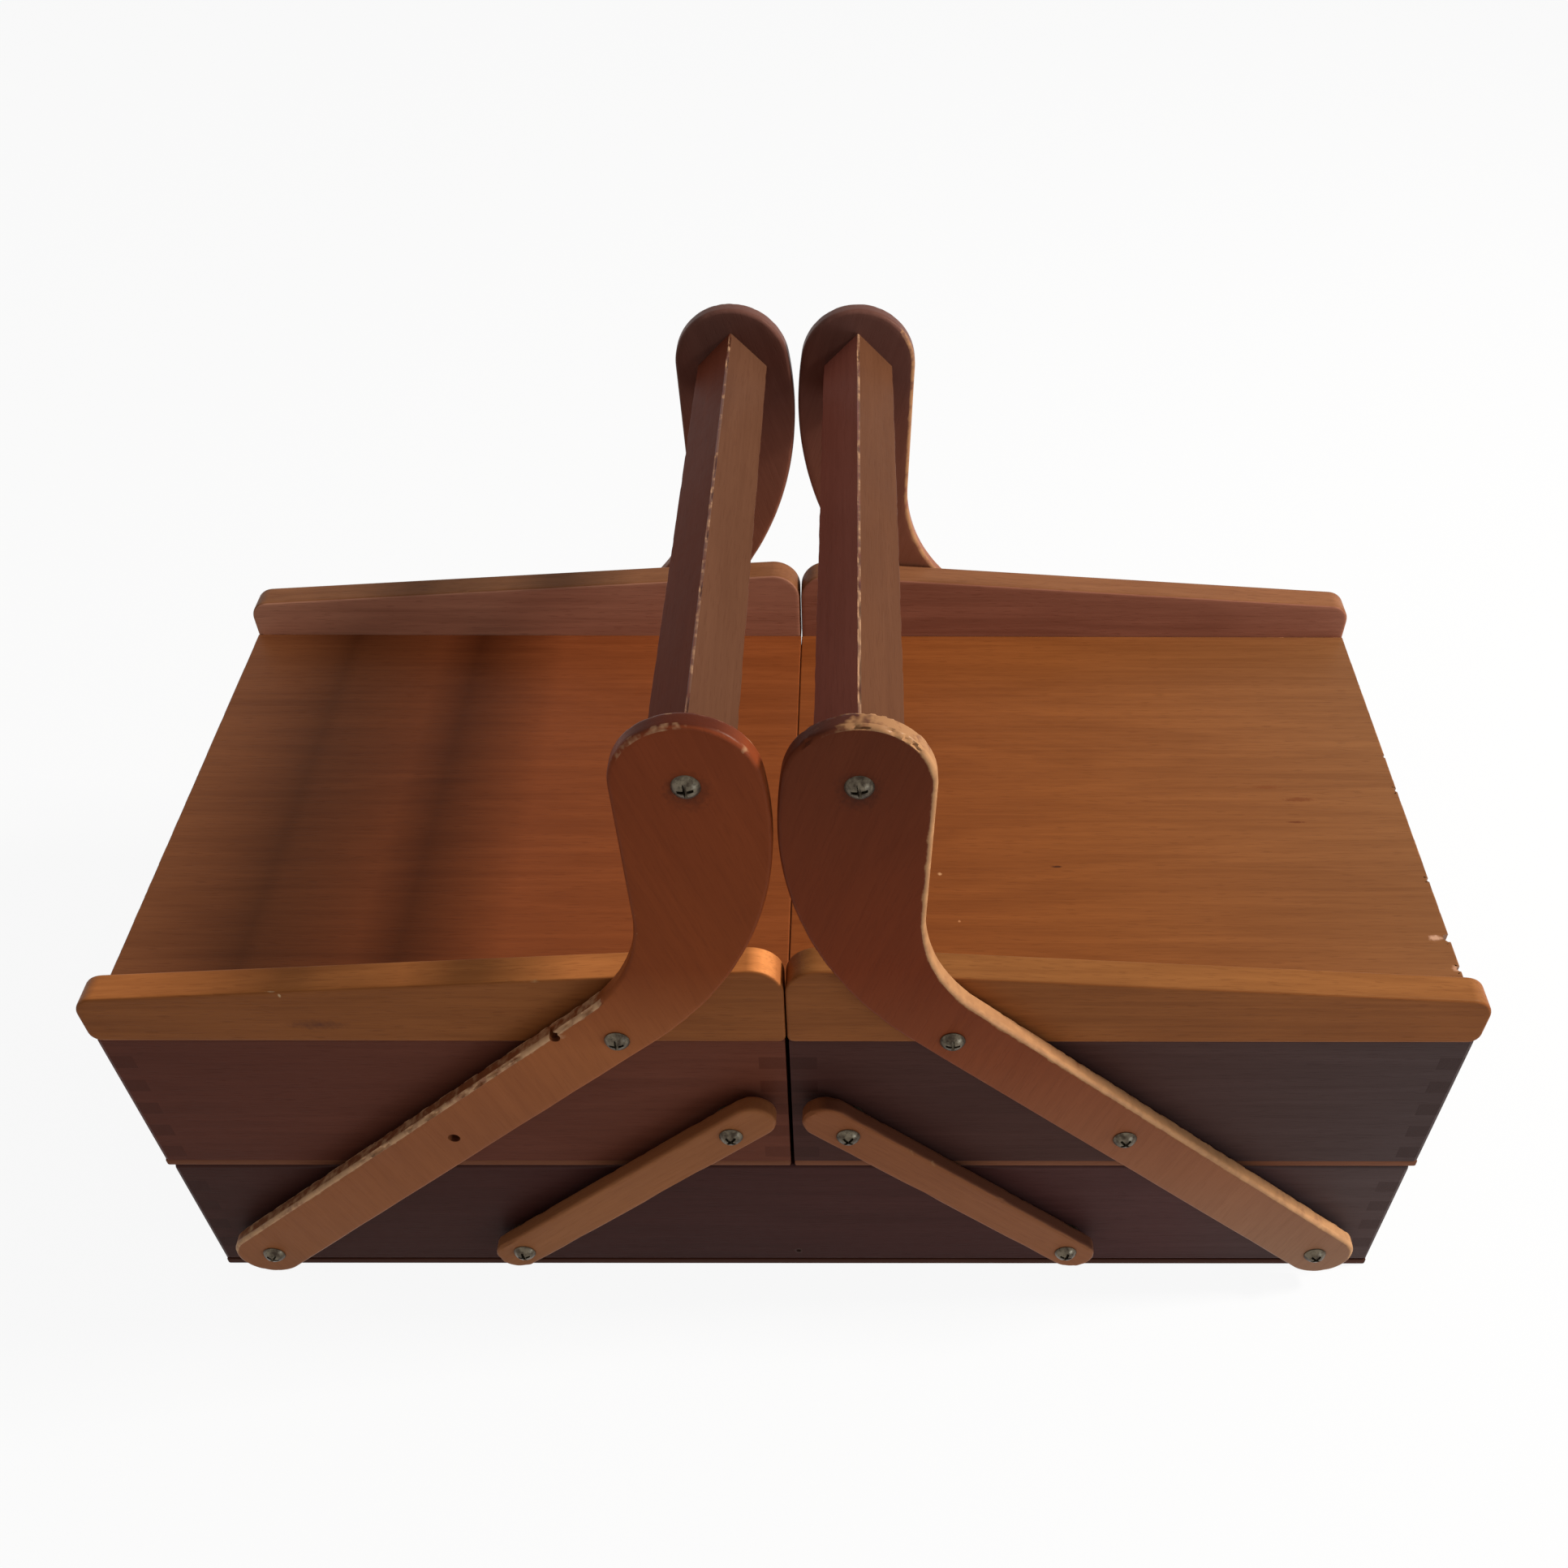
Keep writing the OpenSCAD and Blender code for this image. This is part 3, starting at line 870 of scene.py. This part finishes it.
def lid_rail():
    """The right front rail: long and tapering, with rounded corners."""
    low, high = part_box("right_lid_rail_front")
    inner = low.x - RAIL_INWARDS
    outer = high.x
    bottom = low.z
    # Corners and how round they are, anticlockwise from the lower inner one
    corners = [
        (Vector((inner, bottom)), 2 * MM),
        (Vector((outer, bottom)), 3.5 * MM),
        (Vector((outer, bottom + RAIL_OUTER_HEIGHT)), 7 * MM),
        (Vector((inner, bottom + RAIL_INNER_HEIGHT)), 9.5 * MM),
    ]
    tangents = []
    for place, (corner, radius) in enumerate(corners):
        back = (corners[place - 1][0] - corner).normalized()
        on = (corners[(place + 1) % 4][0] - corner).normalized()
        half = back.angle(on) / 2
        reach = radius / math.tan(half)
        centre = corner + (back + on).normalized() * radius / math.sin(half)
        tangents.append((corner + back * reach, centre, corner + on * reach))
    outline = Outline("rail", tangents[0][2], high.y)
    for place in (1, 2, 3, 0):
        first, centre, last = tangents[place]
        outline.straight(first)
        outline.round(centre, last, ANTICLOCKWISE, step=1 * MM)
    return outline.board(layered(high.y, low.y, edge=2 * MM))


# Painted light on the rails' faces, and on the left front rail a scratch and a painted shadow of the handle
def rail_marks(side, face):
    if face == BACK:
        return [paint_light_by_facing(*BACK_RAIL_PAINTED_LIGHT[side])]
    marks = [paint_light_by_facing(*RAIL_TOP_PAINTED_LIGHT[side])]
    if side == LEFT:
        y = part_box("left_lid_rail_front")[0].y
        marks.append(paint_light_by_facing(*RAIL_END_PAINTED_LIGHT))
        marks += [spot((x * MM, y, z * MM), size * MM, *look) for (x, z), size, *look in RAIL_SCRATCH_AND_SHADOW]
    return marks


def lid(side, rail):
    word = SIDES[side]
    lid_panel(side)
    for face, spoken in FACES.items():
        piece = mirrored(rail, f"{word}_lid_{spoken}_rail", side, face)
        ease_edges(piece, 0.8 * MM, steps=3)
        border(piece, 0.9 * MM, lambda f: abs(f.normal.y) > 0.9)
        keep_worn(piece, spill=0.6, rubbed=lambda place: 0.5)
        smooth(piece)
        material = wood(f"{word} {spoken} rail wood", RAIL_WOOD[face], 0, 20 + side + 2 * face, RUBBED,
                        figure=0.65, wear=0.2, mottle=0.35, marks=rail_marks(side, face))
        fit(piece, f"{word}_lid", "lever_wood", material, f"{word}_lid_rail_{spoken}")


# Levers and links

# How far wear reaches into the edges from both faces
WEAR_REACH = 1.9 * MM
# Faces that are larger than this are flat ones
LARGE_FACE = 50 * MM * MM
# Above the first of these is the crown of a lever's head, and beyond the second its straight part
CROWN = HEAD.y + 9 * MM
BEYOND_NECK = NECK_OUTER - 4 * MM
# How many degrees the grain of a lever leans from upright
GRAIN_LEAN = 18
LEVER_WEAR = {LEFT: 0.5, RIGHT: 0.75}
# The upper edge of the left front lever is nicked between its neck and here
NICKED_TO = 135 * MM
# A torn second hole near the upper edge of the left front lever
TORN_X = -64.6 * MM
TORN_Z = 135.8 * MM


def lever():
    """The right front lever, walked round from under its neck."""
    neck = Vector((NECK_INNER + NECK_RADIUS, NECK_HEIGHT))
    neck_foot = neck - NECK_RADIUS * ABOVE
    foot_end = FOOT - FOOT_PAST * ALONG
    foot_end = foot_end + (neck_foot.dot(ABOVE) + LEVER_WIDTH / 2 - foot_end.dot(ABOVE)) * ABOVE
    upper = neck_foot.dot(ABOVE) + LEVER_WIDTH
    throat_u = NECK_OUTER + THROAT_RADIUS
    throat = Vector((throat_u, (upper + THROAT_RADIUS - throat_u * ABOVE.x) / ABOVE.y))
    # The neck's outer side touches both the hollow curve and the round head
    apart = throat - HEAD
    side_on = apart.normalized()
    side_on.rotate(Matrix.Rotation(math.acos((HEAD_RADIUS + THROAT_RADIUS) / apart.length), 2))
    outline = Outline("lever", neck_foot, LEVER_INNER_Y)
    outline.straight(foot_end - LEVER_WIDTH / 2 * ABOVE, step=12 * MM)
    outline.round(foot_end, foot_end + LEVER_WIDTH / 2 * ABOVE, ANTICLOCKWISE, step=1 * MM)
    outline.straight(throat - THROAT_RADIUS * ABOVE, step=1 * MM)
    outline.round(throat, throat - THROAT_RADIUS * side_on, CLOCKWISE)
    outline.straight(HEAD + HEAD_RADIUS * side_on, step=6 * MM)
    head_end = neck + NECK_RADIUS * (HEAD - neck).normalized()
    outline.round(HEAD, head_end, ANTICLOCKWISE, step=0.9 * MM)
    outline.round(neck, neck_foot, ANTICLOCKWISE)
    return outline.board(layered(LEVER_INNER_Y, LEVER_OUTER_Y, WEAR_REACH))


def link():
    """The right front link, walked round from the lower side of its tray end."""
    half = LINK_WIDTH / 2 * ABOVE
    foot_end = LINK_FOOT - LINK_FOOT_PAST * ALONG
    tray_end = LINK_TRAY + LINK_TRAY_PAST * ALONG
    outline = Outline("link", tray_end - half, LEVER_INNER_Y)
    outline.straight(foot_end - half, step=8 * MM)
    outline.round(foot_end, foot_end + half, ANTICLOCKWISE, step=0.8 * MM)
    outline.straight(tray_end + half, step=2 * MM)
    outline.round(tray_end, tray_end - half, ANTICLOCKWISE, step=0.8 * MM)
    return outline.board(layered(LEVER_INNER_Y, LEVER_OUTER_Y, WEAR_REACH))


def across(place):
    """How far a place is from the line through a lever's lower pivots, towards its upper edge."""
    return Vector((abs(place.x), place.z)).dot(ABOVE) - FOOT.dot(ABOVE)


def on_upper_edge(place):
    return abs(place.x) > NECK_OUTER + 12 * MM and across(place) > LEVER_WIDTH / 2 - 2 * MM


def is_flat(face):
    return abs(face.normal.y) > 0.9 and face.area > LARGE_FACE


def lever_wear(side, face):
    """Functions of a place for how rubbed the edges are, how rubbed whole faces are and how deep edges
    are knocked."""

    def rubbed(place):
        if face == BACK:
            return 0.75 if side == RIGHT and place.x > BEYOND_NECK else 0.3
        if place.z > CROWN:
            return 0.6 if side == LEFT else min(1.0, 0.85 + (place.x - HEAD.x) / (30 * MM))
        if on_upper_edge(place):
            return 1.0
        if abs(place.x) > BEYOND_NECK and across(place) > LEVER_WIDTH / 2 - 5 * MM:
            return 1.0 if side == RIGHT else 0.45
        return 0.3

    # Faces along the rubbed edges turn pale as a whole: wear, and on the right lever's upper edge also a
    # painted highlight
    def broad(flat, place):
        if abs(flat.normal.y) > 0.7 or face == BACK:
            return 0.0
        if place.z > CROWN:
            return (0.35 if side == LEFT else 0.8) * rubbed(place)
        if rubbed(place) < 0.9:
            return 0.0
        return 0.95 if side == RIGHT else 0.7

    def knocked(place):
        if on_upper_edge(place):
            return 1.0 if side == LEFT and face == FRONT and abs(place.x) < NICKED_TO else 0.2
        return 0.8 if place.z > CROWN + 1 * MM and face == FRONT and side == RIGHT else 0.1

    return rubbed, broad, knocked


def lever_marks(side, face):
    """Painted shade on the upward faces, a dark halo round the handle screw, and on the left the torn
    hole's rim and painted shade inside the hole.
    """
    if face == BACK:
        return []
    # A dark halo round the handle screw, a little below its middle
    screw_halo = at(side * HEAD.x, HEAD.y - 1.6 * MM, LEVER_OUTER_Y)
    marks = [paint_light_by_facing(*LEVER_TOP_PAINTED_SHADE[side]),
             spot(screw_halo, 7.2 * MM, rgb(38, 26, 23), strength=0.9, sharp=0.15)]
    if side == LEFT:
        rim = (TORN_X, LEVER_OUTER_Y, TORN_Z + 0.8 * MM)
        # Painted shade inside the torn hole
        inside = (TORN_X, LEVER_OUTER_Y + 2 * MM, TORN_Z)
        marks += [spot(rim, 3.4 * MM, rgb(196, 150, 112), strength=0.6, narrow=(1, 1, 1.6)),
                  spot(inside, 2.2 * MM, rgb(24, 13, 10))]
    return marks


def finish_lever(pattern, side, face):
    word, spoken = SIDES[side], FACES[face]
    rubbed, broad, knocked = lever_wear(side, face)
    piece = mirrored(pattern, f"{word}_{spoken}_lever", side, face)
    ease_edges(piece, 1.2 * MM, steps=4)
    batter(piece, depth=1.1 * MM, density=230, seed=7 * side + face, knocked=knocked)
    border(piece, 1.4 * MM, is_flat)
    keep_worn(piece, spill=0.7, rubbed=rubbed, broad=broad)
    if side == LEFT and face == FRONT:
        lost_screw = at(-TRAY_PIVOT.x, TRAY_PIVOT.y, (LEVER_INNER_Y + LEVER_OUTER_Y) / 2)
        drill(piece, lost_screw, SCREW_HOLE / 2, length=8 * MM)
        drill(piece, (TORN_X, LEVER_OUTER_Y, TORN_Z), radius=1.6 * MM, length=7 * MM)
    smooth(piece, angle=40)
    tints = LEVER_TINTS[side] if face == FRONT else BACK_LEVER_TINTS
    material = wood(f"{word} {spoken} lever wood", tints, 90 - GRAIN_LEAN * side, 30 + side + 2 * face,
                    RUBBED_LEVER_AND_GLINT[side], figure=0.3, gloss=0.42, wear=LEVER_WEAR[side],
                    marks=lever_marks(side, face))
    fit(piece, f"{word}_levers", "lever_wood", material, f"{word}_lever_{spoken}")


def finish_link(pattern, side, face):
    word, spoken = SIDES[side], FACES[face]
    piece = mirrored(pattern, f"{word}_{spoken}_link", side, face)
    ease_edges(piece, 1.0 * MM, steps=3)
    batter(piece, depth=0.25 * MM, density=220, seed=3 * side + face, knocked=lambda place: 1.0)
    border(piece, 1.2 * MM, is_flat)
    keep_worn(piece, spill=0.6, rubbed=lambda place: 0.5)
    smooth(piece, angle=40)
    # Painted shadow of the lever on the right front link's upper side
    marks = [paint_light_by_facing(*LINK_TOP_PAINTED_SHADOW)] if side == RIGHT and face == FRONT else []
    grain = math.degrees(math.atan2(ALONG.y, side * ALONG.x))
    material = wood(f"{word} {spoken} link wood", LINK_TINTS[side], grain, 40 + side + 2 * face, RUBBED,
                    figure=0.35, wear=0.2, mottle=0.3, marks=marks)
    fit(piece, f"{word}_links", "lever_wood", material, f"{word}_link_{spoken}")


# Handle bars

# The bars are a little thicker than the solids, as in the photograph
BAR_EXTRA = 1.2 * MM
BAR_WEAR = {LEFT: 0.1, RIGHT: 0.3}


def handle_bar(side):
    """A square bar on its edge, whose ridge is worn and knocked."""
    word = SIDES[side]
    node = f"{word}_handle_bar"
    low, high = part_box(node)
    thick = (high.x - low.x) / math.sqrt(2) + BAR_EXTRA
    put_down()
    bpy.ops.mesh.primitive_cube_add(size=1, location=(low + high) / 2, rotation=(0, math.radians(45), 0),
                                    scale=(thick, high.y - low.y, thick))
    obj = bake_place(named(f"{word}_grip_bar"))
    pick_edges(obj, lambda a, b: abs(a.y - b.y) > 10 * MM)
    bpy.ops.mesh.subdivide(number_cuts=160)
    finish_edit(obj)
    ease_edges(obj, 0.6 * MM, steps=4)
    ridge = HEAD.y + 8 * MM
    batter(obj, depth=0.5 * MM, density=170, seed=5 * side,
           knocked=lambda place: 1.0 if place.z > ridge else 0.25)
    keep_worn(obj, spill=0.1, rubbed=lambda place: 1.0 if place.z > ridge else 0.5)
    smooth(obj, angle=40)
    # The bar's upper faces get painted light and shade
    material = wood(f"{word} grip bar wood", BAR_WOOD, "depth", 50 + side, RUBBED_BAR, figure=0.35,
                    gloss=0.42, shine=0.01, wear=BAR_WEAR[side], mottle=0.3,
                    marks=[paint_light_by_facing(*shade) for shade in BAR_PAINTED_LIGHT_AND_SHADE[side]])
    return fit(obj, f"{word}_levers", "bar_wood", material, node)


# Screws

# The cutter for one arm of the cross recess, and the share that it narrows to at the bottom
RECESS = (6.6 * MM, 2.8 * MM, 1.3 * MM)
RECESS_TAPER = 0.45


def screw_pattern():
    """A round-head screw at the origin: its head looks along -Y and its cross recess is cut in."""
    dome = ((SCREW_HEAD / 2) ** 2 + SCREW_DOME ** 2) / (2 * SCREW_DOME)
    put_down()
    bpy.ops.mesh.primitive_uv_sphere_add(segments=40, ring_count=24, radius=dome,
                                         location=(0, dome - SCREW_DOME, 0), rotation=(math.pi / 2, 0, 0))
    head = bake_place(named("screw"))
    edit_all(head)
    bpy.ops.mesh.bisect(plane_co=(0, 0, 0), plane_no=(0, 1, 0), use_fill=True, clear_outer=True)
    finish_edit(head)
    for turn in (0, 90):
        put_down()
        bpy.ops.mesh.primitive_cube_add(size=1, location=(0, -SCREW_DOME, 0),
                                        rotation=(0, math.radians(turn), 0), scale=RECESS)
        tool = bake_place(named("driver"))
        pick_faces(tool, lambda face: face.normal.y > 0.9)
        bpy.ops.transform.resize(value=(RECESS_TAPER, 1, RECESS_TAPER), center_override=(0, 0, 0))
        finish_edit(tool)
        cut_away(head, tool)
    ease_edges(head, 0.12 * MM, steps=1, angle=50)
    head.data.materials.clear()
    smooth(head, angle=35)
    return head


def screws(name, body, node, spots, pattern, shank_end):
    """Copies of the screw, each with a shank. A spot is its (u, z) place, side, face and seat's plane."""
    turner = random.Random(name)
    made = []
    for (u, z), side, face, y in spots:
        copy = duplicate(pattern, "screw copy")
        spin = Matrix.Rotation(turner.uniform(0, math.pi), 4, "Y")
        back = Matrix.Rotation(math.pi if face == BACK else 0, 4, "Z")
        copy.data.transform(Matrix.Translation((side * u, face * abs(y), z)) @ back @ spin)
        made.append(copy)
        put_down()
        length = abs(y) - shank_end
        bpy.ops.mesh.primitive_cylinder_add(vertices=24, radius=SCREW_SHANK / 2, depth=length,
                                            location=(side * u, face * (abs(y) - length / 2), z),
                                            rotation=(math.pi / 2, 0, 0))
        made.append(bake_place(named("shank")))
    put_down()
    for piece in made:
        piece.select_set(True)
    bpy.context.view_layer.objects.active = made[0]
    bpy.ops.object.join()
    joined = named(name)
    smooth(joined, angle=35)
    return fit(joined, body, "steel", finishes["steel"], node)


def is_lost(pivot, side, face):
    """The left tray has lost the front screw that held its lever."""
    return pivot is TRAY_PIVOT and side == LEFT and face == FRONT


def all_screws():
    pattern = screw_pattern()
    seat = abs(LEVER_OUTER_Y) + PLAY
    shank_end = abs(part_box("box_front_wall")[0].y) - SCREW_GRIP
    places = [(pivot, side, face, seat) for side in SIDES for face in FACES for pivot in (FOOT, LINK_FOOT)]
    screws("box_screw_set", "base", "box_screws", places, pattern, shank_end)
    kinds = (("tray", "tray", (TRAY_PIVOT, LINK_TRAY), seat),
             ("lid", "lid", (LID_PIVOT,), seat),
             ("handle", "levers", (HEAD,), abs(LEVER_OUTER_Y)))
    for side, word in SIDES.items():
        for kind, body, pivots, plane in kinds:
            places = [(pivot, side, face, plane) for face in FACES for pivot in pivots
                      if not is_lost(pivot, side, face)]
            screws(f"{word}_{kind}_screw_set", f"{word}_{body}", f"{word}_{kind}_screws", places, pattern,
                   shank_end)
    bpy.data.objects.remove(pattern)
    for word in ("box", "left_tray", "right_tray"):
        washers = frame["nodes"][f"{word}_washers"]
        washers.data.materials.clear()
        washers.data.materials.append(finishes["steel"])


# Making the carrier

lower_box()
for half in SIDES:
    tray(half)
rail_pattern = lid_rail()
for half in SIDES:
    lid(half, rail_pattern)
    handle_bar(half)
lever_pattern = lever()
link_pattern = link()
for half in SIDES:
    for front_or_back in FACES:
        finish_lever(lever_pattern, half, front_or_back)
        finish_link(link_pattern, half, front_or_back)
for used in (rail_pattern, lever_pattern, link_pattern):
    bpy.data.objects.remove(used)
all_screws()


# Studio: floor, light and camera

FLOOR_SIZE = 8
# Where the floor is seen, most of it glows white by itself and the rest is paper that takes the shadow
FLOOR_GLOW = 0.92
# How bright the sky is as a light; where it is seen, it is white
SKY_LIGHT = 0.28


def floor():
    put_down()
    bpy.ops.mesh.primitive_plane_add(size=FLOOR_SIZE, location=(0, 0, 0))
    obj = named("studio_floor")
    finish = Finish("white paper")
    path = finish.node("LightPath")
    camera_ray = finish.value(path.outputs["Is Camera Ray"])
    glossy = finish.value(path.outputs["Is Glossy Ray"])
    clear = finish.value(path.outputs["Is Transmission Ray"])
    seen = camera_ray.most(glossy).most(clear)
    paper = finish.node("BsdfDiffuse", Color=(0.8, 0.8, 0.8, 1))
    glow = finish.node("Emission", Color=(1, 1, 1, 1), Strength=1.0)
    both = finish.node("MixShader")
    finish.plug(both.inputs[0], seen * FLOOR_GLOW)
    finish.plug(both.inputs[1], paper.outputs[0])
    finish.plug(both.inputs[2], glow.outputs[0])
    finish.plug(finish.node("OutputMaterial").inputs[0], both.outputs[0])
    obj.data.materials.append(finish.material)


def sky():
    world = bpy.data.worlds.new("studio")
    bpy.context.scene.world = world
    world.use_nodes = True
    tree = world.node_tree
    tree.nodes.clear()
    path = tree.nodes.new("ShaderNodeLightPath")
    seen = Value(tree, path.outputs["Is Camera Ray"])
    for word in ("Is Glossy Ray", "Is Transmission Ray"):
        seen = seen.most(Value(tree, path.outputs[word]))
    background = tree.nodes.new("ShaderNodeBackground")
    background.inputs[0].default_value = (1, 1, 1, 1)
    level = seen * (1 - SKY_LIGHT) + SKY_LIGHT
    tree.links.new(level.socket, background.inputs[1])
    output = tree.nodes.new("ShaderNodeOutputWorld")
    tree.links.new(background.outputs[0], output.inputs[0])


def lamp(name, place, aim, size, power, colour):
    data = bpy.data.lights.new(name, "AREA")
    data.size = size
    data.energy = power
    data.color = colour
    obj = bpy.data.objects.new(name, data)
    bpy.context.scene.collection.objects.link(obj)
    obj.location = place
    obj.rotation_euler = (Vector(aim) - Vector(place)).to_track_quat("-Z", "Y").to_euler()


# The camera: where it stood, how it looked down and its lens, for a picture of PICTURE pixels a side
PICTURE = 1932
CAMERA_PLACE = Vector((18.7, -374.1, 471.9)) * MM
CAMERA_HEADING = 0.42
CAMERA_PITCH = -47.38
CAMERA_ROLL = 0.41
FOCAL_PIXELS = 1884.0
CENTRE_X = 1058.7
CENTRE_Y = 1150.0


def camera():
    data = bpy.data.cameras.new("camera")
    data.sensor_width = 36
    data.lens = FOCAL_PIXELS * data.sensor_width / PICTURE
    data.shift_x = (PICTURE / 2 - CENTRE_X) / PICTURE
    data.shift_y = (CENTRE_Y - PICTURE / 2) / PICTURE
    data.clip_start = 0.01
    obj = bpy.data.objects.new("camera", data)
    bpy.context.scene.collection.objects.link(obj)
    look = Euler((math.radians(90 + CAMERA_PITCH), 0, math.radians(-CAMERA_HEADING))).to_matrix()
    roll = Matrix.Rotation(math.radians(CAMERA_ROLL), 3, "Z")
    obj.matrix_world = Matrix.Translation(CAMERA_PLACE) @ (look @ roll).to_4x4()
    bpy.context.scene.camera = obj


floor()
sky()
lamp("window", place=(1.05, 0.03, 0.97), aim=(0, 0, 0.11), size=0.16, power=19, colour=(1.0, 0.96, 0.9))
lamp("cool side", place=(0.66, -0.62, 0.08), aim=(0.1, -0.1, 0.06), size=0.3, power=1.5,
     colour=(0.7, 0.85, 1.0))
camera()
bpy.context.scene.view_settings.view_transform = "Standard"
